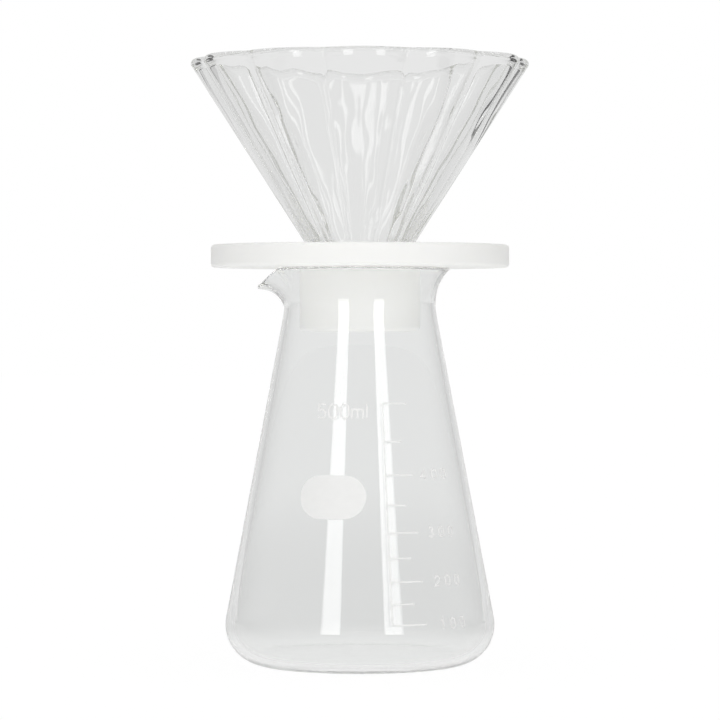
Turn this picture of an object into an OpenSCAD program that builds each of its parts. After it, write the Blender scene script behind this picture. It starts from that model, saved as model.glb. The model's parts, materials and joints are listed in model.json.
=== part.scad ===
// Pour over coffee set: a fluted glass cone dripper, seated in a soft white collar,
// that stands on the mouth of a conical glass flask with a fired-on volume scale.
// Millimetres, +Z up, origin at the centre of the flask's foot, scale facing -Y, spout at -X.

/* [Flask] */
// Greatest diameter of the flask, at its heel
flask_d = 101; // [94:0.2:106]
// Height of the flask to the flat of its lip
flask_h = 148.8; // [140:0.2:162]
// Radius of the heel between the side and the foot
heel_r = 15; // [10:0.1:17]
// Outside diameter at the waist of the neck
neck_d = 56.8; // [52:0.2:60]
// Depth of the waist below the lip
waist_drop = 13; // [11.5:0.1:15]
// Radius of the curve from the cone into the waist
shoulder_r = 31; // [20:0.2:36]
// Outside diameter of the lip
lip_d = 67.3; // [65:0.1:71]
// Thickness of the flask's glass at the neck
wall = 1.8; // [1.4:0.1:2.4]
// Thickness of the flask's glass at the heel and the foot, from where the side thins towards the neck
heel_wall = 3.2; // [2:0.1:4]
// Width of the flat ring that the flask stands on
foot_w = 4; // [2:0.5:8]
// Height of the hollow under the foot
punt_h = 1.5; // [0.8:0.1:2.5]

/* [Spout] */
// Reach of the spout's tip from the flask's axis
spout_reach = 38.4; // [37.3:0.1:40]
// Depth of the spout's tip below the lip
spout_drop = 6.7; // [5.5:0.1:7.5]
// Radius of the spout's tip, seen from above
spout_r = 15.8; // [13:0.1:17]
// Radius of the curve under the spout
spout_curve_r = 9.7; // [8.5:0.1:10.5]

/* [Enamel marks] */
// Turn of the scale's upright line from the front, in degrees
spine_turn = 13.2; // [8:0.2:18]
// Sweep of the long lines, in degrees
long_sweep = 14.8; // [10:0.2:17]
// Sweep of the short lines, in degrees
short_sweep = 9.8; // [6:0.2:10]
// Width of a printed line
line_w = 0.65; // [0.4:0.05:0.8]
// Turn of the numerals' middle from the front, in degrees
numeral_turn = 42.6; // [41:0.2:46]
// Height of the numerals
numeral_h = 3.5; // [2.4:0.1:4]
// Distance from one character of a numeral to the next
numeral_pitch = 4.9; // [3.6:0.1:5]
// Height of the capacity mark
capacity_h = 5.1; // [3.5:0.1:5.4]
// Turn of the capacity mark's middle from the front, in degrees
capacity_turn = -10.8; // [-14:0.2:-9]
// Depth of the capacity mark's middle below the highest line
capacity_drop = 2.8; // [0:0.1:6]
// Width of the writing patch
patch_w = 24.8; // [18:0.2:26]
// Height of the writing patch
patch_h = 15.8; // [10:0.2:17]
// Turn of the patch's middle from the front, in degrees
patch_turn = -14.2; // [-22:0.2:-12]
// Height of the patch's middle above the foot
patch_z = 64.8; // [60:0.2:68]
// Thickness of the enamel
enamel_t = 0.12; // [0.08:0.01:0.2]
// Hairline between the enamel and the glass
enamel_gap = 0.02; // [0.01:0.01:0.05]

/* [Collar] */
// Diameter of the collar's disc
disc_d = 111.8; // [100:0.2:116]
// Thickness of the collar's disc
disc_t = 8.5; // [6:0.1:12]
// Radius of the disc's rounded edges
disc_edge_r = 1.3; // [0.5:0.1:2.5]
// Depth of the plug below the disc
plug_depth = 24.2; // [18:0.2:30]
// Radial gap between the plug and the flask's neck
plug_gap = 4; // [2.5:0.1:6]
// Radius of the plug's lower edge
plug_edge_r = 2; // [0.5:0.1:2.5]
// Widening of the bore below the dripper's outlet
bore_relief = 0.6; // [0.2:0.1:1.5]

/* [Dripper] */
// Diameter over the crests of the flutes at the height of the rim, before the rim is rounded
rim_d = 129.6; // [115:0.2:138]
// Height of the rim above the collar
rim_rise = 69.5; // [60:0.1:72]
// Height of the cone, from the point where its crests would meet to the rim
cone_h = 100.9; // [94:0.1:106]
// Thickness of the rounded rim
rim_t = 3.4; // [3:0.1:4]
// Height of the band below the rim in which the glass thickens
rim_band = 8; // [5:0.5:15]
// Number of flutes
flutes = 12; // [10:1:14]
// Depth of the flutes at the rim
flute_depth = 3.7; // [2:0.1:4.5]
// Turn of the nearest crest from the front, in degrees
flute_turn = 1.8; // [0:0.1:15]
// Thickness of the dripper's glass
dripper_wall = 2.5; // [1.8:0.1:3]
// Diameter of the outlet
outlet_d = 19; // [15:0.5:21]
// Width of the flat end around the outlet
end_w = 3; // [2.5:0.1:4]
// Extra thickness of the plain glass end inside the collar
end_extra = 0.5; // [0.3:0.1:0.8]
// Depth of the plain glass end's top below the collar's face
end_sink = 3; // [2:0.1:5]
// Gap between the glass end and its seat
seat_gap = 0.3; // [0.2:0.05:0.6]

/* [Hidden] */
$fn = 96;
// Angle between the points of a rounded outline, and of a printed character
arc_step = 6;
stroke_step = 20;
// Volumes of the scale's lowest and highest lines, and from each line to the next, in millilitres
lowest_ml = 100;
highest_ml = 500;
step_ml = 50;
// Length by which a cutting shape passes the glass that it cuts
overrun = 20;

// Flask outline; the lip's round keeps this share of its radius below the flat land on top
lip_r = wall / 2;
lip_land = 0.92;
waist_z = flask_h - waist_drop;
heel_mid = [flask_d / 2 - heel_r, heel_r];
shoulder_mid = [neck_d / 2 + shoulder_r, waist_z];
heel_to_shoulder = shoulder_mid - heel_mid;
heel_inner = heel_r - heel_wall;
side_angle = side_lean(heel_r, shoulder_r);
inner_angle = side_lean(heel_inner, shoulder_r + wall);
lip_mid = [lip_d / 2 - lip_r, flask_h - lip_land * lip_r];
lip_out = lip_mid[0] - neck_d / 2;
lip_up = lip_mid[1] - waist_z;
flare_r = (lip_out * lip_out + lip_up * lip_up - lip_r * lip_r) / (2 * lip_out + wall);
flare_mid = [neck_d / 2 + flare_r, waist_z];
flare_angle = asin(lip_up / (flare_r + lip_r));
land_angle = asin(lip_land);
foot_r = heel_mid[0];

// Lean of a straight side that runs off an arc about the heel's middle and onto one about the shoulder's
function side_lean(heel, shoulder) =
    atan2(heel_to_shoulder[1], heel_to_shoulder[0]) - acos((heel + shoulder) / norm(heel_to_shoulder));

// Flask contents
fill_r = heel_mid[0] + heel_inner * cos(inner_angle);
fill_z = heel_r + heel_inner * sin(inner_angle);
heel_volume = PI * (heel_sum(heel_inner * sin(inner_angle)) - heel_sum(-heel_inner))
    - PI / 3 * pow(foot_r - foot_w, 2) * punt_h;

// Spout; the curve under it bends by so many degrees from the neck towards the tip
spout_mid_x = spout_reach - spout_r;
spout_tip_z = flask_h - spout_drop;
spout_start_r = neck_d / 2 - lip_r - spout_mid_x;
spout_bend = 80;
spout_curve_z = spout_tip_z - spout_curve_r * sin(spout_bend) - wall / 2;

// Collar
disc_z = flask_h;
disc_top = disc_z + disc_t;
plug_r = neck_d / 2 - wall - plug_gap;

// Dripper; a flute has so many flat sides, the rim a ring of points every so many degrees,
// and the fluted wall reaches so far down into the plain end
rim_z = disc_top + rim_rise;
apex_z = rim_z - cone_h;
crest_slope = rim_d / 2 / cone_h;
crest_angle = atan(crest_slope);
flute_pitch = 360 / flutes;
flute_sides = 12;
rim_step = 30;
valley_share = 1 - 2 * flute_depth / rim_d;
flute_mid = (1 - valley_share * valley_share) / (2 - 2 * valley_share * cos(flute_pitch / 2));
wall_across = dripper_wall / cos(crest_angle);
end_top = disc_top - end_sink;
end_lap = 1.5;
outlet_r = outlet_d / 2;
end_z = apex_z + (outlet_r + end_w - end_extra) / crest_slope;
end_in_r = crest_r(end_top) * valley_share - wall_across - end_extra;
outlet_top = end_top - (end_in_r - outlet_r) / crest_slope;

function crest_r(z) = (z - apex_z) * crest_slope;
function end_r(z) = crest_r(z) + end_extra;

// Share of the crest's radius at a turn from the crest: each flute is a circle about its own middle
function flute_share(turn) =
    flute_mid * cos(turn) + sqrt(pow(1 - flute_mid, 2) - pow(flute_mid * sin(turn), 2));

// Height and depth behind the outer face of each ring of points round the fluted wall
rim_mid_z = rim_z - rim_t / 2;
rim_mid = [crest_r(rim_mid_z) - rim_t / 2 / cos(crest_angle), rim_mid_z];
rim_round = arc(rim_mid, rim_t / 2, -crest_angle, 180 - crest_angle, rim_step);
fluted_rings = concat(
    [[end_top - end_lap, 0]],
    [for (p = rim_round) [p[1], crest_r(p[1]) - p[0]]],
    [[rim_z - rim_band, wall_across], [end_top - end_lap, wall_across]]
);

// Points on an arc about mid, from one angle to another
function arc(mid, r, from, to, step = arc_step) =
    let (n = max(1, ceil(abs(to - from) / step)))
    [for (i = [0:n]) mid + r * [cos(from + (to - from) * i / n), sin(from + (to - from) * i / n)]];

// Sum of squared radii up the rounded heel, at a height u from the middle of its arc
function heel_sum(u) =
    let (a = heel_mid[0], r = heel_inner, s = sqrt(max(r * r - u * u, 0)))
    a * a * u + a * (u * s + r * r * asin(u / r) * PI / 180) + r * r * u - u * u * u / 3;

// Height of the surface of a filling of so many millilitres
function fill_height(ml) =
    let (r = pow(pow(fill_r, 3) - 3 * tan(inner_angle) * (ml * 1000 - heel_volume) / PI, 1 / 3))
    fill_z + (fill_r - r) / tan(inner_angle);

// Radius of the flask's outside at a height on its straight side
function side_r(z) = heel_mid[0] + (heel_r - (z - heel_r) * sin(side_angle)) / cos(side_angle);

// One band of the enamel's skin between two heights
function skin(low, high) = [
    [side_r(low) + enamel_gap, low],
    [side_r(low) + enamel_gap + enamel_t, low],
    [side_r(high) + enamel_gap + enamel_t, high],
    [side_r(high) + enamel_gap, high]
];

// Face of the flask's glass from the foot to the flare, with a heel's radius, a lean and a depth at the neck
function flask_side(heel, lean, inset) = concat(
    arc(heel_mid, heel, -90, lean),
    arc(shoulder_mid, shoulder_r + inset, 180 + lean, 180),
    arc(flare_mid, flare_r + inset, 180 - arc_step, 180 - flare_angle)
);

module flask_outside() {
    rotate_extrude()
        polygon(concat(
            [[0, punt_h], [foot_r - foot_w, 0]],
            flask_side(heel_r, side_angle, 0),
            arc(lip_mid, lip_r, arc_step - flare_angle, land_angle),
            [[lip_mid[0], flask_h], [0, flask_h]]
        ));
}

module flask_inside() {
    rotate_extrude()
        polygon(concat(
            [[0, punt_h + heel_wall], [foot_r - foot_w, heel_wall]],
            flask_side(heel_inner, inner_angle, wall),
            [lip_mid + lip_r * [-cos(land_angle), sin(land_angle)]],
            [[lip_mid[0] - lip_r * cos(land_angle), flask_h + overrun], [0, flask_h + overrun]]
        ));
}

// Round channel that the spout is drawn from, at a distance in from its outer face
module spout_channel(inset) {
    curve_mid = [spout_start_r + spout_curve_r, spout_curve_z];
    curve = arc(curve_mid, spout_curve_r + inset, 180, 180 - spout_bend);
    translate([-spout_mid_x, 0, 0])
        rotate_extrude()
            polygon(concat(
                [[0, spout_curve_z]],
                curve,
                [
                    [spout_r - inset, spout_tip_z + inset],
                    [spout_r - inset, flask_h + inset],
                    [0, flask_h + inset]
                ]
            ));
}

// Everything above the edge of the spout, which falls from the lip to the tip
module above_spout() {
    edge_fall = atan2(spout_drop - wall, spout_reach - lip_mid[0] + wall);
    translate([-spout_reach, 0, spout_tip_z + wall])
        rotate([0, -edge_fall, 0])
            translate([-overrun, -flask_d / 2, 0])
                cube([overrun * 3, flask_d, overrun]);
}

module flask() {
    color([0.9, 0.94, 0.93, 0.35])
        difference() {
            union() {
                flask_outside();
                spout_channel(0);
            }
            flask_inside();
            spout_channel(wall);
            above_spout();
        }
}

module collar() {
    color([0.95, 0.95, 0.93])
        rotate_extrude()
            polygon(concat(
                [[outlet_r + bore_relief, disc_z - plug_depth]],
                arc([plug_r - plug_edge_r, disc_z - plug_depth + plug_edge_r], plug_edge_r, -90, 0),
                [[plug_r, disc_z]],
                arc([disc_d / 2 - disc_edge_r, disc_z + disc_edge_r], disc_edge_r, -90, 0),
                arc([disc_d / 2 - disc_edge_r, disc_top - disc_edge_r], disc_edge_r, 0, 90),
                [
                    [end_r(disc_top) + seat_gap, disc_top],
                    [end_r(end_z) + seat_gap, end_z],
                    [outlet_r + bore_relief, end_z]
                ]
            ));
}

module fluted_wall() {
    n = flutes * flute_sides;
    m = len(fluted_rings);
    turn_step = 360 / n;
    points = [
        for (ring = fluted_rings, i = [0:n - 1])
            let (turn = flute_turn - 90 + i * turn_step)
            let (off_crest = (i % flute_sides) * turn_step)
            let (r = crest_r(ring[0]) * flute_share(min(off_crest, flute_pitch - off_crest)) - ring[1])
            [r * cos(turn), r * sin(turn), ring[0]]
    ];
    faces = [
        for (j = [0:m - 1], i = [0:n - 1])
            let (a = j * n + i, b = j * n + (i + 1) % n)
            let (c = ((j + 1) % m) * n + (i + 1) % n, d = ((j + 1) % m) * n + i)
            each [[a, c, b], [a, d, c]]
    ];
    polyhedron(points, faces);
}

module dripper() {
    color([0.92, 0.94, 0.95, 0.35])
        union() {
            fluted_wall();
            rotate_extrude()
                polygon([
                    [outlet_r, end_z],
                    [end_r(end_z), end_z],
                    [end_r(end_top), end_top],
                    [end_in_r, end_top],
                    [outlet_r, outlet_top]
                ]);
        }
}

// One printed line round the flask at a height, between two turns from the front
module ring_line(z, from, sweep) {
    rotate([0, 0, from - 90])
        rotate_extrude(angle = sweep)
            polygon(skin(z - line_w / 2, z + line_w / 2));
}

function spine_sweep() = line_w / side_r(fill_height(lowest_ml)) * 180 / PI;

module scale_spine() {
    color("white")
        rotate([0, 0, spine_turn - 90])
            rotate_extrude(angle = spine_sweep())
                polygon(skin(fill_height(lowest_ml) - line_w / 2, fill_height(highest_ml) + line_w / 2));
}

// Every second line, from a first one up, to the right of the spine
module scale_lines(first_ml, sweep) {
    hairline = enamel_gap / side_r(fill_height(highest_ml)) * 180 / PI;
    for (ml = [first_ml:2 * step_ml:highest_ml])
        ring_line(fill_height(ml), spine_turn + spine_sweep() + hairline, sweep);
}

module scale_long_lines() {
    color("white")
        scale_lines(lowest_ml, long_sweep);
}

module scale_short_lines() {
    color("white")
        scale_lines(lowest_ml + step_ml, short_sweep);
}

// Flat drawing laid on the flask's side, its origin at a turn from the front and a height
module on_side(turn, z, reach) {
    intersection() {
        rotate_extrude()
            polygon(skin(z - reach, z + reach));
        rotate([0, 0, turn])
            translate([0, 0, z])
                rotate([90, 0, 0])
                    linear_extrude(height = flask_d)
                        children();
    }
}

// Strokes of the characters 1 to 5, m and l, in a cell one unit high
stroke_1 = [[[0.12, 0.78], [0.34, 1], [0.34, 0]]];
stroke_2 = [concat(arc([0.3, 0.7], 0.3, 170, -40, stroke_step), [[0.02, 0], [0.6, 0]])];
stroke_3 = [arc([0.3, 0.76], 0.24, 150, -90, stroke_step), arc([0.3, 0.26], 0.26, 90, -150, stroke_step)];
stroke_4 = [[[0.44, 0], [0.44, 1]], [[0.44, 0.96], [0, 0.3], [0.6, 0.3]]];
stroke_5 = [[[0.56, 1], [0.1, 1], [0.06, 0.5]], arc([0.28, 0.31], 0.31, 135, -145, stroke_step)];
stroke_m = [
    [[0, 0], [0, 0.66]],
    concat(arc([0.2, 0.46], 0.2, 165, 0, stroke_step), [[0.4, 0]]),
    concat(arc([0.6, 0.46], 0.2, 165, 0, stroke_step), [[0.8, 0]])
];
stroke_l = [[[0, 0], [0, 1]]];
// Widths of a numeral's cell and of the letter m, and the space after each in the capacity mark
cell_w = 0.6;
letter_m_w = 0.8;
cell_space = 0.24;

function unit(v) = v / norm(v);
function across(v) = [-v[1], v[0]];

// Direction across a stroke at one of its points
function stroke_across(p, i) =
    let (n = len(p) - 1)
    let (back = i > 0 ? unit(p[i] - p[i - 1]) : unit(p[1] - p[0]))
    let (on = i < n ? unit(p[i + 1] - p[i]) : unit(p[n] - p[n - 1]))
    let (mean = across(unit(back + on)))
    mean / (mean * across(back));

module stroke(points, w) {
    n = len(points) - 1;
    polygon(concat(
        [for (i = [0:n]) points[i] + stroke_across(points, i) * w / 2],
        [for (i = [n:-1:0]) points[i] - stroke_across(points, i) * w / 2]
    ));
}

// Long ring about the middle of a cell
function long_ring(h, r) = concat(
    arc([cell_w / 2, 1 - cell_w / 2] * h, r, 0, 180, stroke_step),
    arc([cell_w / 2, cell_w / 2] * h, r, 180, 360, stroke_step)
);

module zero(h) {
    difference() {
        polygon(long_ring(h, (cell_w * h + line_w) / 2));
        polygon(long_ring(h, (cell_w * h - line_w) / 2));
    }
}

module strokes(list, h) {
    for (s = list)
        stroke(s * h, line_w);
}

// A first character and two zeros
module hundreds(first, h, pitch) {
    strokes(first, h);
    for (i = [1, 2])
        translate([i * pitch, 0])
            zero(h);
}

module side_numeral(first, ml) {
    width = 2 * numeral_pitch + cell_w * numeral_h;
    color("white")
        on_side(numeral_turn, fill_height(ml), numeral_h)
            translate([-width / 2, -numeral_h / 2])
                hundreds(first, numeral_h, numeral_pitch);
}

module numeral_100() side_numeral(stroke_1, 100);
module numeral_200() side_numeral(stroke_2, 200);
module numeral_300() side_numeral(stroke_3, 300);
module numeral_400() side_numeral(stroke_4, 400);

module capacity_mark() {
    pitch = (cell_w + cell_space) * capacity_h;
    letter_l_x = 3 * pitch + (letter_m_w + cell_space) * capacity_h;
    color("white")
        on_side(capacity_turn, fill_height(highest_ml) - capacity_drop, capacity_h)
            translate([-letter_l_x / 2, -capacity_h / 2]) {
                hundreds(stroke_5, capacity_h, pitch);
                translate([3 * pitch, 0])
                    strokes(stroke_m, capacity_h);
                translate([letter_l_x, 0])
                    strokes(stroke_l, capacity_h);
            }
}

module writing_patch() {
    color("white")
        on_side(patch_turn, patch_z, patch_h)
            union() {
                square([patch_w - patch_h, patch_h], center = true);
                for (side = [-1, 1])
                    translate([side * (patch_w - patch_h) / 2, 0])
                        circle(d = patch_h);
            }
}

flask();
collar();
dripper();
scale_spine();
scale_long_lines();
scale_short_lines();
numeral_100();
numeral_200();
numeral_300();
numeral_400();
capacity_mark();
writing_patch();
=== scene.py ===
"""Looks of a pour over coffee set: clear glass, soft white silicone and fired enamel, in a white studio."""

import json
import math

import bmesh
import bpy
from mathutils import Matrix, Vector, noise

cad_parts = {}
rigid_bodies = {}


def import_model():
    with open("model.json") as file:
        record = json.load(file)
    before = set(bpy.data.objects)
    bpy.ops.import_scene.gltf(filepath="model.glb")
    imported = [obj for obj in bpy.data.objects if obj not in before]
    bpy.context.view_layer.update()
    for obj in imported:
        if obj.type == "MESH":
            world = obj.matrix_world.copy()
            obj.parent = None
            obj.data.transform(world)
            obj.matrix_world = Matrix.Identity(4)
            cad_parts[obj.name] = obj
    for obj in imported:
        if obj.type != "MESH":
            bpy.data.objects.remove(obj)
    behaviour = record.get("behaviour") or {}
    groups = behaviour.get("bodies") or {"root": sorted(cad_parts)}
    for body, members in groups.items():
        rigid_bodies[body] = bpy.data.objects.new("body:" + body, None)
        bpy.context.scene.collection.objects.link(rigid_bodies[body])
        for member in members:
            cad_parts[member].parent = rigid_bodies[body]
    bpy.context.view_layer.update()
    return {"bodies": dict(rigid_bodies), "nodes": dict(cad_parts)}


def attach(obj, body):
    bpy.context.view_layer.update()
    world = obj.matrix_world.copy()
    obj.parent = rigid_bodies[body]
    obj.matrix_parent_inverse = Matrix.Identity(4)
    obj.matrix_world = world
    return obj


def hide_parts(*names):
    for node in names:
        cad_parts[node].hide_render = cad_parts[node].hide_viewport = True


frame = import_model()

MM = 0.001
MERGE_DISTANCE = 0.5e-6

# Flask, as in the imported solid
FLASK_R = 50.5 * MM
FLASK_H = 148.8 * MM
HEEL_R = 15 * MM
NECK_R = 28.4 * MM
WAIST_Z = 135.8 * MM
SHOULDER_R = 31 * MM
LIP_R = 33.65 * MM
WALL = 1.8 * MM
HEEL_WALL = 3.2 * MM
LIP_T = 1.1 * MM
FOOT_W = 4 * MM
PUNT_H = 1.5 * MM
FLASK_STEPS = 256
HEEL_STEPS = 20
SIDE_STEPS = 12
SHOULDER_STEPS = 10
FLARE_STEPS = 20
LIP_STEPS = 14

# Spout: its underside is a quarter of an ellipse from the neck to the tip
SPOUT_LOW_Z = 132.4 * MM
SPOUT_OUT = 9.5 * MM
SPOUT_UP = 8.3 * MM
SPOUT_HALF_TURN = math.radians(30)
SPOUT_BLEND = 0.2
BEAD = 0.5
BEAD_START = 0.7
BEAD_FOCUS = 6

# Collar
DISC_R = 55.9 * MM
DISC_T = 8.5 * MM
DISC_EDGE_R = 1.3 * MM
PLUG_R = 22.6 * MM
PLUG_DEPTH = 24.2 * MM
PLUG_EDGE_R = 2 * MM
BORE_R = 10.1 * MM
SEAT_EDGE_R = 0.6 * MM
SEAT_GAP = 0.3 * MM
COLLAR_STEPS = 256
SEAT_EDGE_STEPS = 6
PLUG_EDGE_STEPS = 10
DISC_EDGE_STEPS = 8

# Dripper
RIM_R = 64.8 * MM
RIM_Z = 226.8 * MM
CONE_H = 100.9 * MM
RIM_T = 3.4 * MM
RIM_BAND = 3 * MM
FLUTES = 12
FLUTE_DEPTH = 3.7 * MM
FLUTE_TURN = math.radians(1.8)
VALLEY_ROUND = math.radians(1)
DRIPPER_WALL = 2.5 * MM
OUTLET_R = 9.5 * MM
END_W = 3 * MM
END_EXTRA = 0.5 * MM
END_SINK = 3 * MM
FLUTE_START = 2 * MM
FLUTE_FADE = 6 * MM
RIPPLE = 0.15 * MM
RIPPLE_FINE = 0.1
RIPPLES_ROUND = 8
RIPPLES_UP = 75
STEPS_PER_FLUTE = 40
CONE_ROWS = 70
RIM_STEPS = 20

# Glass
GLASS_IOR = 1.47
LET_THROUGH = 0.99

# Matt surfaces
GRAIN_DEPTH = 0.1 * MM

# Camera
EYE_DISTANCE = 1.22
EYE_Z = 0.1299
LENS = 162.5
SENSOR = 36
VIEW_END = 50
LOOK_DOWN = math.radians(0.74)

# Light in the glass: how often it may turn, and the limit that tells one bounce from none
BOUNCES = 256
ONE_BOUNCE = 0.5
FIRST_BOUNCES = 5.5

# Room that the glass shows
STUDIO_WHITE = 0.84
BAND_COUNT = 4
BAND_FACING = 0.2
BAND_SIDE = 0.1
BAND_BACK = (-0.3, 0.3)
TOP_LIGHT = 3.0
TOP_RISE = (0.6, 0.75)
TOP_RINGS = 46
RING_START = 4.6
RING_DRIFT = 8
RING_DRIFT_SCALE = 4
RING_EDGE = (0.35, 0.9)
# painted shade: the room is dimmer for light that has turned many times in the glass, which draws dark lines
# in it
DEEP_SHADE = 0.75
DEEP_BOUNCES = (5, 16)

# Fill light on matt faces
FILL_ROUND = 0.06
FILL_FRONT = 1.16
FILL_FRONT_RISE = (0.1, 0.6)
FILL_FRONT_LEVELS = (1.35, 0.6)
FILL_TOP = 1.6
FILL_TOP_FOCUS = 4

# Softboxes
STRIP_RADIANCE = 3.4
STRIP_DISTANCE = 1.15
STRIP_LOW = 0.0
STRIP_HIGH = 1.0
LEFT_STRIP = (-33, -17)
RIGHT_STRIP = (21, 36.5)

# Floor
FLOOR_SIZE = 12
FLOOR_DROP = 0.1 * MM
FLOOR_GLOW = 0.925
FLOOR_WHITE = 0.1
FLOOR_PLAIN_WHITE = 0.8
# painted light and shade: the floor that glass shows is brighter close under the set and dimmer further out
FLOOR_PAINTED_GLOW_LEVELS = (1.06, 0.88)
FLOOR_NEAR = (0.03, 0.14)
FLOOR_FAR = (0.3, 1.2)
# light the floor gives matt faces, dimmer close to the set: a painted shadow of the set
FLOOR_BOUNCE_AND_PAINTED_SHADOW = (0.32, 0.47)
FLOOR_PAINTED_SHADOW_SPAN = (0.05, 0.5)

# Dark cards: painted dark streaks in the upper glass, seen only in light mirrored there
CARD_TOP = 0.19
CARD_FALL = 0.03
CARD_SPAN = (0.08, 3)
CARD_STEPS = 64
CARD_LEVEL = 0.02
CARD_NEAR = (0.71, 0.78)
CARD_FAR = (0.62, 0.7)
CARD_SPLIT = (0.28, 0.34)
CARD_MIDDLE = (-0.01, 0.01)
CARD_LEFT = 0.3

# Places that follow from the sizes
heel_mid = (FLASK_R - HEEL_R, HEEL_R)
shoulder_mid = (NECK_R + SHOULDER_R, WAIST_Z)
disc_low = FLASK_H
disc_top = FLASK_H + DISC_T
apex_z = RIM_Z - CONE_H
crest_slope = RIM_R / CONE_H
crest_lean = math.atan(crest_slope)
wall_across = DRIPPER_WALL / math.cos(crest_lean)
rim_across = RIM_T / math.cos(crest_lean)
end_top = disc_top - END_SINK
end_z = apex_z + (OUTLET_R + END_W - END_EXTRA) / crest_slope


def arc(mid, r, start, end, steps):
    """Points of (radius, height) on an arc about mid, with its angles in degrees."""
    turns = [math.radians(start + (end - start) * i / steps) for i in range(steps + 1)]
    return [(mid[0] + r * math.cos(a), mid[1] + r * math.sin(a)) for a in turns]


def line(start, end, steps):
    """Points on a straight line, without its two ends."""
    shares = [i / steps for i in range(1, steps)]
    return [tuple(a + (b - a) * s for a, b in zip(start, end)) for s in shares]


def smooth(low, high, x):
    """0 below low, 1 above high and an even S between."""
    t = min(1, max(0, (x - low) / (high - low)))
    return t * t * (3 - 2 * t)


def spun(outline, steps, closed):
    """A bmesh made by turning an outline of (radius, height) points about the upright axis."""
    bm = bmesh.new()
    verts = [bm.verts.new((r, 0, z)) for r, z in outline]
    edges = [bm.edges.new(pair) for pair in zip(verts, verts[1:])]
    if closed:
        edges.append(bm.edges.new((verts[-1], verts[0])))
    bmesh.ops.spin(
        bm, geom=verts + edges, cent=(0, 0, 0), axis=(0, 0, 1), angle=math.tau, steps=steps, use_merge=True
    )
    bmesh.ops.remove_doubles(bm, verts=bm.verts, dist=MERGE_DISTANCE)
    bmesh.ops.recalc_face_normals(bm, faces=bm.faces)
    return bm


def linked_object(name, bm, material):
    """An object in the scene from a finished bmesh."""
    mesh = bpy.data.meshes.new(name)
    bm.to_mesh(mesh)
    bm.free()
    mesh.materials.append(material)
    obj = bpy.data.objects.new(name, mesh)
    bpy.context.scene.collection.objects.link(obj)
    return obj


def piece(name, bm, material, body):
    """A smooth piece that rides on a body and stands for the node of the same name as the body."""
    obj = linked_object(name, bm, material)
    obj.data.shade_smooth()
    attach(obj, body)
    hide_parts(body)
    return obj


# Flask

def flare_curve():
    """The middle of the lip's round, and the radius and the sweep in degrees of the flare under it."""
    lip_mid = (LIP_R - LIP_T / 2, FLASK_H - LIP_T / 2)
    lip_out = lip_mid[0] - NECK_R
    lip_up = lip_mid[1] - WAIST_Z
    flare_r = (lip_out**2 + lip_up**2 - (LIP_T / 2) ** 2) / (2 * lip_out + LIP_T)
    sweep = math.asin(lip_up / (flare_r + LIP_T / 2))
    return lip_mid, flare_r, math.degrees(sweep)


def flask_face(heel_r, inset):
    """One face of the flask's side from foot to lip, by its heel's radius and its depth at the neck."""
    out = shoulder_mid[0] - heel_mid[0]
    up = shoulder_mid[1] - heel_mid[1]
    shoulder_r = SHOULDER_R + inset
    lean = math.degrees(math.atan2(up, out) - math.acos((heel_r + shoulder_r) / math.hypot(out, up)))
    _, flare_r, sweep = flare_curve()
    heel = arc(heel_mid, heel_r, -90, lean, HEEL_STEPS)
    shoulder = arc(shoulder_mid, shoulder_r, 180 + lean, 180, SHOULDER_STEPS)
    flare = []
    for i in range(1, FLARE_STEPS + 1):
        share = i / FLARE_STEPS
        r = flare_r + inset * (1 + (LIP_T / WALL - 1) * share)
        a = math.radians(sweep * share)
        flare.append((NECK_R + flare_r - r * math.cos(a), WAIST_Z + r * math.sin(a)))
    return heel + line(heel[-1], shoulder[0], SIDE_STEPS) + shoulder + flare


def draw_spout(bm):
    """Pulls the lip out and down on the left into a pouring spout with a bead at its tip."""
    _, flare_r, sweep = flare_curve()
    mid_r = NECK_R + flare_r
    start = math.atan2(SPOUT_LOW_Z - WAIST_Z, flare_r)
    for v in bm.verts:
        turn = math.atan2(v.co.y, -v.co.x)
        if v.co.z < SPOUT_LOW_Z or abs(turn) > SPOUT_HALF_TURN:
            continue
        r = math.hypot(v.co.x, v.co.y)
        depth = math.hypot(mid_r - r, v.co.z - WAIST_Z) - flare_r
        along = (math.atan2(v.co.z - WAIST_Z, mid_r - r) - start) / (math.radians(sweep) - start)
        a = max(0, along) * math.pi / 2
        normal = Vector((SPOUT_UP * math.cos(a), -SPOUT_OUT * math.sin(a))).normalized()
        middle = math.cos(turn / SPOUT_HALF_TURN * math.pi / 2) ** 2
        depth *= 1 + BEAD * middle**BEAD_FOCUS * smooth(BEAD_START, 1, along)
        r_to = NECK_R + SPOUT_OUT * (1 - math.cos(a)) - normal.x * depth
        z_to = SPOUT_LOW_Z + SPOUT_UP * math.sin(a) - normal.y * depth
        share = middle * smooth(0, SPOUT_BLEND, along)
        r_new = r + (r_to - r) * share
        v.co = Vector((v.co.x * r_new / r, v.co.y * r_new / r, v.co.z + (z_to - v.co.z) * share))


def make_flask(material):
    """A blown shell with a hollow foot, a thick heel, a thin lip and a spout."""
    lip_mid, _, sweep = flare_curve()
    foot_in = heel_mid[0] - FOOT_W
    outer = [(0, PUNT_H), (foot_in, 0)] + flask_face(HEEL_R, 0)
    lip = arc(lip_mid, LIP_T / 2, -sweep, 180 - sweep, LIP_STEPS)[1:-1]
    inner = flask_face(HEEL_R - HEEL_WALL, WALL)[::-1]
    inner += [(foot_in, HEEL_WALL), (0, PUNT_H + HEEL_WALL)]
    bm = spun(outer + lip + inner, FLASK_STEPS, closed=False)
    draw_spout(bm)
    return piece("flask_glass", bm, material, "flask")


# Collar

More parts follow.
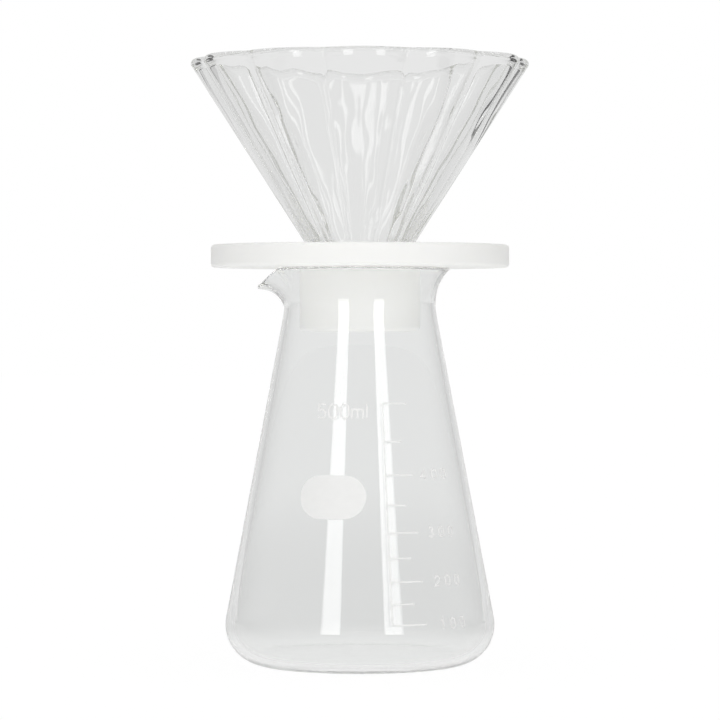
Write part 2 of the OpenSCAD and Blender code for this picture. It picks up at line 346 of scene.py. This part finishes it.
def make_collar(material):
    """A round-edged disc with a plug below it and a tapered seat in its middle."""
    seat_r = (disc_top - apex_z) * crest_slope + END_EXTRA + SEAT_GAP
    ledge_r = (end_z - apex_z) * crest_slope + END_EXTRA + SEAT_GAP
    plug_low = disc_low - PLUG_DEPTH
    edge_mid_r = DISC_R - DISC_EDGE_R
    hold = DISC_EDGE_R / 2
    bore_edge = (BORE_R + SEAT_EDGE_R, plug_low + SEAT_EDGE_R)
    plug_edge = (PLUG_R - PLUG_EDGE_R, plug_low + PLUG_EDGE_R)
    outline = arc(bore_edge, SEAT_EDGE_R, 180, 270, SEAT_EDGE_STEPS)
    outline += [(PLUG_R - PLUG_EDGE_R - hold, plug_low)]
    outline += arc(plug_edge, PLUG_EDGE_R, -90, 0, PLUG_EDGE_STEPS)
    outline += [(PLUG_R, plug_low + PLUG_EDGE_R + hold), (PLUG_R, disc_low - hold)]
    outline += [(PLUG_R, disc_low), (PLUG_R + hold, disc_low), (edge_mid_r - hold, disc_low)]
    outline += arc((edge_mid_r, disc_low + DISC_EDGE_R), DISC_EDGE_R, -90, 0, DISC_EDGE_STEPS)
    outline += [(DISC_R, disc_low + DISC_EDGE_R + hold), (DISC_R, disc_top - DISC_EDGE_R - hold)]
    outline += arc((edge_mid_r, disc_top - DISC_EDGE_R), DISC_EDGE_R, 0, 90, DISC_EDGE_STEPS)
    outline += [(edge_mid_r - hold, disc_top), (seat_r + 2 * SEAT_EDGE_R, disc_top)]
    outline += [(seat_r + SEAT_EDGE_R, disc_top), (seat_r, disc_top - SEAT_EDGE_R)]
    outline += [(ledge_r, end_z), (ledge_r - SEAT_EDGE_R, end_z), (BORE_R, end_z)]
    bm = spun(outline, COLLAR_STEPS, closed=True)
    return piece("collar_silicone", bm, material, "collar")


# Dripper

def flute_share(turn):
    """Share of the crest's radius at a turn about the axis: each flute is a circle about its own middle."""
    pitch = math.tau / FLUTES
    valley = 1 - FLUTE_DEPTH / RIM_R
    mid = (1 - valley**2) / (2 - 2 * valley * math.cos(pitch / 2))
    off = (turn - FLUTE_TURN + math.pi / 2 + pitch / 2) % pitch - pitch / 2
    off = pitch / 2 - math.hypot(pitch / 2 - abs(off), VALLEY_ROUND)
    return mid * math.cos(off) + math.sqrt((1 - mid) ** 2 - (mid * math.sin(off)) ** 2)


def draw_flutes(bm):
    """Presses the flutes into the plain cone, and the slow ripple of thick glass into its inner wall."""
    for v in bm.verts:
        turn = math.atan2(v.co.y, v.co.x)
        r = math.hypot(v.co.x, v.co.y)
        crest = (v.co.z - apex_z) * crest_slope
        fluted = smooth(end_top - FLUTE_START, end_top + FLUTE_FADE, v.co.z)
        r_new = r + crest * (flute_share(turn) - 1) * fluted
        within = smooth(0, wall_across, crest - r) * smooth(0, 2 * RIM_BAND, RIM_Z - v.co.z)
        place = Vector((math.cos(turn) * RIPPLES_ROUND, math.sin(turn) * RIPPLES_ROUND, v.co.z * RIPPLES_UP))
        r_new += RIPPLE * (noise.noise(place) + RIPPLE_FINE * noise.noise(2 * place)) * within * fluted
        v.co.x *= r_new / r
        v.co.y *= r_new / r


def make_dripper(material):
    """A fluted cone with a round rim, and a plain end that stands in the collar."""
    end_r = (end_z - apex_z) * crest_slope + END_EXTRA
    foot = [(OUTLET_R, end_z), (end_r - SEAT_EDGE_R, end_z), (end_r, end_z + SEAT_EDGE_R / 2)]
    neck = ((end_top - apex_z) * crest_slope, end_top)
    rim_mid_z = RIM_Z - RIM_T / 2
    rim_mid = ((rim_mid_z - apex_z) * crest_slope - rim_across / 2, rim_mid_z)
    lean = math.degrees(crest_lean)
    lip = arc(rim_mid, RIM_T / 2, -lean, 180 - lean, RIM_STEPS)
    outer = [neck] + line(neck, lip[0], CONE_ROWS)
    lip_low = lip[-1][1]
    inner = []
    for i in range(1, CONE_ROWS + 1):
        z = lip_low + (end_top - lip_low) * i / CONE_ROWS
        across = wall_across + (rim_across - wall_across) * smooth(RIM_Z - RIM_BAND, lip_low, z)
        inner.append(((z - apex_z) * crest_slope - across, z))
    mouth = [(OUTLET_R, end_top - (inner[-1][0] - OUTLET_R) / crest_slope)]
    bm = spun(foot + outer + lip + inner + mouth, FLUTES * STEPS_PER_FLUTE, closed=True)
    draw_flutes(bm)
    return piece("dripper_glass", bm, material, "dripper")


# Nodes

def add(tree, kind, inputs=None, **settings):
    """A new node of a kind, with values or links for its inputs and its own settings."""
    node = tree.nodes.new(kind)
    for name, value in settings.items():
        setattr(node, name, value)
    for name, value in (inputs or {}).items():
        if isinstance(value, bpy.types.NodeSocket):
            tree.links.new(value, node.inputs[name])
        else:
            node.inputs[name].default_value = value
    return node


def math_node(tree, operation, *values):
    """The result of one sum on links or plain numbers."""
    return add(tree, "ShaderNodeMath", dict(enumerate(values)), operation=operation).outputs[0]


def ramp(tree, value, low, high, to_low, to_high):
    """A smooth step of a value from one range to another."""
    inputs = {"Value": value, "From Min": low, "From Max": high, "To Min": to_low, "To Max": to_high}
    return add(tree, "ShaderNodeMapRange", inputs, interpolation_type="SMOOTHSTEP").outputs["Result"]


def mix_value(tree, factor, off, on):
    """One value or another by a factor."""
    return add(tree, "ShaderNodeMix", {0: factor, 2: off, 3: on}, data_type="FLOAT").outputs[0]


# Materials

def mottle_group():
    """Soft patches and fine grain over a surface, on object coordinates."""
    group = bpy.data.node_groups.new("mottle", "ShaderNodeTree")
    for name in ("Patch Scale", "Grain Scale"):
        group.interface.new_socket(name, in_out="INPUT", socket_type="NodeSocketFloat")
    for name in ("Patches", "Grain"):
        group.interface.new_socket(name, in_out="OUTPUT", socket_type="NodeSocketFloat")
    given = add(group, "NodeGroupInput")
    point = add(group, "ShaderNodeTexCoord").outputs["Object"]
    patch_inputs = {"Vector": point, "Scale": given.outputs["Patch Scale"], "Detail": 3.0}
    grain_inputs = {"Vector": point, "Scale": given.outputs["Grain Scale"], "Detail": 5.0}
    patches = add(group, "ShaderNodeTexNoise", patch_inputs)
    grain = add(group, "ShaderNodeTexNoise", grain_inputs)
    add(group, "NodeGroupOutput", {"Patches": patches.outputs["Fac"], "Grain": grain.outputs["Fac"]})
    return group


def new_material(name):
    """A material, its node tree and its Principled shader."""
    material = bpy.data.materials.new(name)
    material.use_nodes = True
    tree = material.node_tree
    return material, tree, tree.nodes["Principled BSDF"]


def mottled(name, group, pale, deep, patch_scale, grain_scale, roughness, bump):
    """A matt surface whose colour drifts between two tones, with a fine grain in its gloss and relief."""
    material, tree, shader = new_material(name)
    scales = {"Patch Scale": patch_scale, "Grain Scale": grain_scale}
    mottle = add(tree, "ShaderNodeGroup", scales, node_tree=group)
    grain = mottle.outputs["Grain"]
    tones = {"Factor": mottle.outputs["Patches"], 6: (*deep, 1), 7: (*pale, 1)}
    tone = add(tree, "ShaderNodeMix", tones, data_type="RGBA")
    gloss = add(tree, "ShaderNodeMapRange", {"Value": grain, "To Min": roughness[0], "To Max": roughness[1]})
    relief = add(tree, "ShaderNodeBump", {"Height": grain, "Strength": bump, "Distance": GRAIN_DEPTH})
    tree.links.new(tone.outputs[2], shader.inputs["Base Color"])
    tree.links.new(gloss.outputs["Result"], shader.inputs["Roughness"])
    tree.links.new(relief.outputs["Normal"], shader.inputs["Normal"])
    return material, shader


def let_light_in(shader, weight, radius, scale):
    """Lets light scatter below a surface, by its share, its reach for each colour and its depth."""
    shader.inputs["Subsurface Weight"].default_value = weight
    shader.inputs["Subsurface Radius"].default_value = radius
    shader.inputs["Subsurface Scale"].default_value = scale


def make_silicone(mottle):
    """Soft white silicone with a powdery face."""
    material, shader = mottled(
        "silicone",
        mottle,
        pale=(0.91, 0.91, 0.895),
        deep=(0.88, 0.88, 0.86),
        patch_scale=60,
        grain_scale=4000,
        roughness=(0.5, 0.65),
        bump=0.15,
    )
    let_light_in(shader, weight=0.2, radius=(1, 1, 0.9), scale=1.5 * MM)
    return material


def make_enamel(mottle):
    """Thin white enamel, fired on the glass."""
    material, shader = mottled(
        "enamel",
        mottle,
        pale=(0.85, 0.85, 0.84),
        deep=(0.81, 0.81, 0.8),
        patch_scale=400,
        grain_scale=9000,
        roughness=(0.45, 0.6),
        bump=0.2,
    )
    let_light_in(shader, weight=0.6, radius=(1, 1, 1), scale=0.2 * MM)
    return material


def clear_glass(name, tint, depth_colour, density, ripple_scale, ripple, trapped):
    """Clear glass with a faint upright ripple in its face and a colour that grows with its depth.

    It lets shadow rays and scattered light straight through, and in time the light trapped in its wall.
    """
    material, tree, shader = new_material(name)
    place = add(tree, "ShaderNodeTexCoord").outputs["Object"]
    stretch = add(tree, "ShaderNodeMapping", {"Vector": place, "Scale": ripple_scale}).outputs["Vector"]
    wave_inputs = {"Vector": stretch, "Scale": 1.0, "Detail": 2.0, "Roughness": 0.4}
    waves = add(tree, "ShaderNodeTexNoise", wave_inputs).outputs["Fac"]
    relief = add(tree, "ShaderNodeBump", {"Height": waves, "Strength": 1.0, "Distance": ripple})
    tree.links.new(relief.outputs["Normal"], shader.inputs["Normal"])
    shader.inputs["Base Color"].default_value = (*tint, 1)
    shader.inputs["Roughness"].default_value = 0.0
    shader.inputs["IOR"].default_value = GLASS_IOR
    shader.inputs["Transmission Weight"].default_value = 1.0
    out = tree.nodes["Material Output"]
    path = add(tree, "ShaderNodeLightPath")
    scattered = math_node(tree, "GREATER_THAN", path.outputs["Diffuse Depth"], ONE_BOUNCE)
    passing = math_node(tree, "MAXIMUM", path.outputs["Is Shadow Ray"], scattered)
    passing = math_node(tree, "MAXIMUM", passing, ramp(tree, path.outputs["Ray Depth"], *trapped, 0, 1))
    thin = add(tree, "ShaderNodeBsdfTransparent", {"Color": (LET_THROUGH, LET_THROUGH, LET_THROUGH, 1)})
    both = add(tree, "ShaderNodeMixShader", {0: passing, 1: shader.outputs["BSDF"], 2: thin.outputs["BSDF"]})
    tree.links.new(both.outputs["Shader"], out.inputs["Surface"])
    depth = add(tree, "ShaderNodeVolumeAbsorption", {"Color": (*depth_colour, 1), "Density": density})
    tree.links.new(depth.outputs["Volume"], out.inputs["Volume"])
    return material


def make_flask_glass():
    """Even blown glass, faintly olive in its depth."""
    return clear_glass(
        "flask_glass",
        tint=(0.97, 0.975, 0.973),
        depth_colour=(0.78, 0.8, 0.68),
        density=4,
        ripple_scale=(60, 60, 12),
        ripple=0.02 * MM,
        trapped=(4, 12),
    )


def make_dripper_glass():
    """Thick pressed glass, a little greyer than the flask's."""
    return clear_glass(
        "dripper_glass",
        tint=(0.96, 0.962, 0.96),
        depth_colour=(0.85, 0.86, 0.8),
        density=6,
        ripple_scale=(110, 110, 14),
        ripple=0.003 * MM,
        trapped=(60, 140),
    )


# Studio

def glass_view(tree, path):
    """1 for what is seen in or through glass, and 0 for what only lights a matt surface."""
    either = math_node(tree, "MAXIMUM", path.outputs["Is Glossy Ray"], path.outputs["Is Transmission Ray"])
    unscattered = math_node(tree, "LESS_THAN", path.outputs["Diffuse Depth"], ONE_BOUNCE)
    return math_node(tree, "MULTIPLY", either, unscattered)


def room_level(tree, path, direction, x, y, z):
    """What the glass shows of the room: white with soft grey upright bands, and bright rings overhead, and
    painted shade where the light has turned many times in the glass.
    """
    turn = math_node(tree, "ARCTAN2", x, y)
    wave = math_node(tree, "COSINE", math_node(tree, "MULTIPLY", turn, BAND_COUNT))
    depth = math_node(tree, "MULTIPLY_ADD", math_node(tree, "MULTIPLY", x, x), BAND_SIDE, BAND_FACING)
    depth = math_node(tree, "MULTIPLY", depth, ramp(tree, y, *BAND_BACK, 0, 1))
    band = math_node(tree, "MULTIPLY", math_node(tree, "MULTIPLY_ADD", wave, -0.5, 0.5), depth)
    room = math_node(tree, "SUBTRACT", STUDIO_WHITE, band)
    drift_inputs = {"Vector": direction, "Scale": RING_DRIFT_SCALE, "Detail": 1.0}
    drift = add(tree, "ShaderNodeTexNoise", drift_inputs).outputs["Fac"]
    phase = math_node(tree, "MULTIPLY_ADD", drift, RING_DRIFT, RING_START)
    phase = math_node(tree, "MULTIPLY_ADD", math_node(tree, "ARCCOSINE", z), TOP_RINGS, phase)
    ring = ramp(tree, math_node(tree, "COSINE", phase), *RING_EDGE, 0, 1)
    top = math_node(tree, "MULTIPLY", ring, ramp(tree, z, *TOP_RISE, 0, TOP_LIGHT))
    bounces = path.outputs["Ray Depth"]
    first = math_node(tree, "LESS_THAN", bounces, FIRST_BOUNCES)
    room = math_node(tree, "MULTIPLY_ADD", top, first, room)
    # painted shade: dimmer for light that has turned many times in the glass
    return math_node(tree, "MULTIPLY", room, ramp(tree, bounces, *DEEP_BOUNCES, 1, DEEP_SHADE))


def fill_level(tree, y, z):
    """What lights matt faces: mostly from the front and from straight above."""
    front = math_node(tree, "MAXIMUM", math_node(tree, "MULTIPLY", y, -1), 0)
    front = math_node(tree, "MULTIPLY", front, ramp(tree, z, *FILL_FRONT_RISE, *FILL_FRONT_LEVELS))
    fill = math_node(tree, "MULTIPLY_ADD", front, FILL_FRONT, FILL_ROUND)
    above = math_node(tree, "POWER", math_node(tree, "MAXIMUM", z, 0), FILL_TOP_FOCUS)
    return math_node(tree, "MULTIPLY_ADD", above, FILL_TOP, fill)


def make_world():
    """White for the camera, the room for what is seen in glass, and the fill for matt faces."""
    world = bpy.data.worlds.new("studio")
    bpy.context.scene.world = world
    world.use_nodes = True
    tree = world.node_tree
    path = add(tree, "ShaderNodeLightPath")
    direction = add(tree, "ShaderNodeTexCoord").outputs["Generated"]
    sides = add(tree, "ShaderNodeSeparateXYZ", {"Vector": direction})
    x, y, z = (sides.outputs[axis] for axis in "XYZ")
    room = room_level(tree, path, direction, x, y, z)
    seen = mix_value(tree, glass_view(tree, path), fill_level(tree, y, z), room)
    level = mix_value(tree, path.outputs["Is Camera Ray"], seen, 1.0)
    background = tree.nodes["Background"]
    background.inputs["Color"].default_value = (1, 1, 1, 1)
    tree.links.new(level, background.inputs["Strength"])


def stage_piece(name, bm):
    """A piece of the studio from a finished bmesh, with the node tree of its own empty material."""
    material, tree, shader = new_material(name)
    tree.nodes.remove(shader)
    obj = linked_object(name, bm, material)
    return obj, tree


def place_and_reach(tree):
    """A stage piece's own coordinates, and the distance from its origin."""
    place = add(tree, "ShaderNodeTexCoord").outputs["Object"]
    reach = add(tree, "ShaderNodeVectorMath", {0: place}, operation="LENGTH").outputs["Value"]
    return place, reach


def make_floor():
    """A white table top: it glows white to the camera and keeps a faint shadow. To glass it glows with
    painted light and shade, brighter close under the set and dimmer further out; the light it gives matt
    faces is dimmer close to the set, a painted shadow.
    """
    bm = bmesh.new()
    bmesh.ops.create_grid(bm, x_segments=1, y_segments=1, size=FLOOR_SIZE / 2)
    floor, tree = stage_piece("floor", bm)
    floor.location.z = -FLOOR_DROP
    path = add(tree, "ShaderNodeLightPath")
    camera = path.outputs["Is Camera Ray"]
    glass = glass_view(tree, path)
    _, reach = place_and_reach(tree)
    # painted light and shade: brighter close under the set, dimmer further out, white again far off
    near = ramp(tree, reach, *FLOOR_NEAR, *FLOOR_PAINTED_GLOW_LEVELS)
    far = ramp(tree, reach, *FLOOR_FAR, FLOOR_PAINTED_GLOW_LEVELS[1], 1)
    level = math_node(tree, "MAXIMUM", near, far)
    # painted shadow: the floor's light on matt faces is dimmer close to the set
    bounce = ramp(tree, reach, *FLOOR_PAINTED_SHADOW_SPAN, *FLOOR_BOUNCE_AND_PAINTED_SHADOW)
    glow = mix_value(tree, glass, bounce, math_node(tree, "MULTIPLY", level, STUDIO_WHITE - FLOOR_WHITE))
    glow = mix_value(tree, camera, glow, FLOOR_GLOW)
    shown = math_node(tree, "MAXIMUM", camera, glass)
    white = mix_value(tree, shown, FLOOR_PLAIN_WHITE, FLOOR_WHITE)
    emission = add(tree, "ShaderNodeEmission", {"Strength": glow})
    diffuse = add(tree, "ShaderNodeBsdfDiffuse", {"Color": white})
    both = add(tree, "ShaderNodeAddShader", {0: emission.outputs[0], 1: diffuse.outputs[0]})
    tree.links.new(both.outputs[0], tree.nodes["Material Output"].inputs["Surface"])


def make_painted_streak_cards():
    """Dark cards round the set that paint dark streaks into the upper glass, a painted reflection: met only
    from above and only by light mirrored in the upper glass.
    """
    bm = spun([(r, CARD_TOP - CARD_FALL * r) for r in CARD_SPAN], CARD_STEPS, closed=False)
    if bm.faces[:][0].normal.z < 0:
        bmesh.ops.reverse_faces(bm, faces=bm.faces)
    cards, tree = stage_piece("painted_dark_streaks", bm)
    cards.visible_camera = False
    cards.visible_diffuse = False
    cards.visible_shadow = False
    path = add(tree, "ShaderNodeLightPath")
    place, reach = place_and_reach(tree)
    side = add(tree, "ShaderNodeSeparateXYZ", {"Vector": place})
    across = math_node(tree, "ABSOLUTE", side.outputs["X"])
    along = math_node(tree, "ABSOLUTE", side.outputs["Y"])
    less = math_node(tree, "MINIMUM", across, along)
    more = math_node(tree, "MAXIMUM", across, along)
    slant = math_node(tree, "DIVIDE", less, more)
    near = ramp(tree, side.outputs["X"], *CARD_MIDDLE, CARD_LEFT, 1)
    near = math_node(tree, "MULTIPLY", near, ramp(tree, slant, *CARD_NEAR, 0, 1))
    far = ramp(tree, reach, *CARD_SPLIT, 0, 1)
    far = math_node(tree, "MULTIPLY", far, ramp(tree, slant, *CARD_FAR, 0, 1))
    mirrored = math_node(tree, "GREATER_THAN", path.outputs["Glossy Depth"], ONE_BOUNCE)
    front = math_node(tree, "SUBTRACT", 1, add(tree, "ShaderNodeNewGeometry").outputs["Backfacing"])
    shown = math_node(tree, "MULTIPLY", math_node(tree, "MAXIMUM", near, far), mirrored)
    shown = math_node(tree, "MULTIPLY", shown, front)
    clear = add(tree, "ShaderNodeBsdfTransparent")
    # painted shade: the near-black glow that draws the dark streaks in the glass
    dark = add(tree, "ShaderNodeEmission", {"Strength": CARD_LEVEL})
    both = add(tree, "ShaderNodeMixShader", {0: shown, 1: clear.outputs[0], 2: dark.outputs[0]})
    tree.links.new(both.outputs[0], tree.nodes["Material Output"].inputs["Surface"])


def make_strip(name, span):
    """A tall softbox, seen only in glass and gloss, between two turns in degrees from the camera's side."""
    low, high = (math.radians(a) for a in span)
    turn = (low + high) / 2
    width = 2 * STRIP_DISTANCE * math.tan((high - low) / 2)
    height = STRIP_HIGH - STRIP_LOW
    data = bpy.data.lights.new(name, "AREA")
    data.shape = "RECTANGLE"
    data.size = width
    data.size_y = height
    data.energy = STRIP_RADIANCE * math.pi * width * height
    data.use_nodes = True
    tree = data.node_tree
    path = add(tree, "ShaderNodeLightPath")
    unscattered = math_node(tree, "LESS_THAN", path.outputs["Diffuse Depth"], ONE_BOUNCE)
    first = math_node(tree, "LESS_THAN", path.outputs["Ray Depth"], FIRST_BOUNCES)
    seen = math_node(tree, "MULTIPLY", unscattered, first)
    tree.links.new(seen, tree.nodes["Emission"].inputs["Strength"])
    lamp = bpy.data.objects.new(name, data)
    bpy.context.scene.collection.objects.link(lamp)
    place = Vector((math.sin(turn), -math.cos(turn), 0)) * STRIP_DISTANCE
    place.z = (STRIP_LOW + STRIP_HIGH) / 2
    lamp.location = place
    facing = Vector((-place.x, -place.y, 0))
    lamp.rotation_euler = facing.to_track_quat("-Z", "Y").to_euler()
    lamp.visible_camera = False
    lamp.visible_diffuse = False


def make_camera():
    """A long lens in front of the set, a little above the middle of its height."""
    data = bpy.data.cameras.new("camera")
    data.lens = LENS
    data.sensor_width = SENSOR
    data.clip_end = VIEW_END
    camera = bpy.data.objects.new("camera", data)
    bpy.context.scene.collection.objects.link(camera)
    camera.location = (0, -EYE_DISTANCE, EYE_Z)
    camera.rotation_euler = (math.pi / 2 - LOOK_DOWN, 0, 0)
    bpy.context.scene.camera = camera


def set_light_paths():
    """Plain colours, and enough turns for the light that runs inside thick glass."""
    bpy.context.scene.view_settings.view_transform = "Standard"
    cycles = bpy.context.scene.cycles
    cycles.max_bounces = BOUNCES
    cycles.glossy_bounces = BOUNCES
    cycles.transmission_bounces = BOUNCES
    cycles.blur_glossy = 0


# Everything in place

set_light_paths()
make_camera()
make_world()
make_floor()
# painted dark streaks in the upper glass
make_painted_streak_cards()
make_strip("left_strip", LEFT_STRIP)
make_strip("right_strip", RIGHT_STRIP)

mottle = mottle_group()
enamel = make_enamel(mottle)
make_flask(make_flask_glass())
make_collar(make_silicone(mottle))
make_dripper(make_dripper_glass())
for node, obj in frame["nodes"].items():
    if node not in frame["bodies"]:
        obj.data.materials.clear()
        obj.data.materials.append(enamel)
